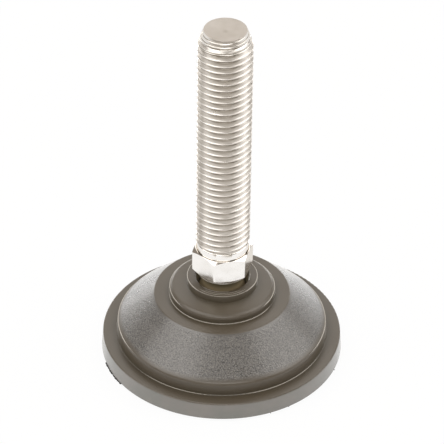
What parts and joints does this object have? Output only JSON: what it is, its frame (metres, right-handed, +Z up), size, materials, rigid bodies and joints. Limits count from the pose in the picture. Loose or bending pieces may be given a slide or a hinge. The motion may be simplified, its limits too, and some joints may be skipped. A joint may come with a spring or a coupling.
{
  "type": "levelling foot",
  "caption": "Levelling foot: a threaded stud with a spanner hexagon and a ball end that leans in a round moulded base on a rubber grip pad.",
  "frame": {"origin": "centre of the pad's underside, where the foot stands on the floor", "axes": "+Z up along the stud; two flats of the hexagon face +X and -X"},
  "size_m": [0.0715, 0.0714, 0.1118],
  "materials": {
    "plated_steel": "bright plated, with a rolled thread",
    "moulded_nylon": "smooth, with a fine eroded texture on the cone",
    "pad_rubber": "matt"
  },
  "bodies": {
    "foot": {"base_moulding": "moulded_nylon", "grip_pad": "pad_rubber"},
    "stud": {"threaded_stud": "plated_steel"}
  },
  "joints": [
    {"name": "stud_tilt", "type": "hinge", "parent": "foot", "child": "stud", "pos_m": [0, 0, 0.0195], "axis": [0, 1, 0], "range_deg": [-12, 12]}
  ]
}
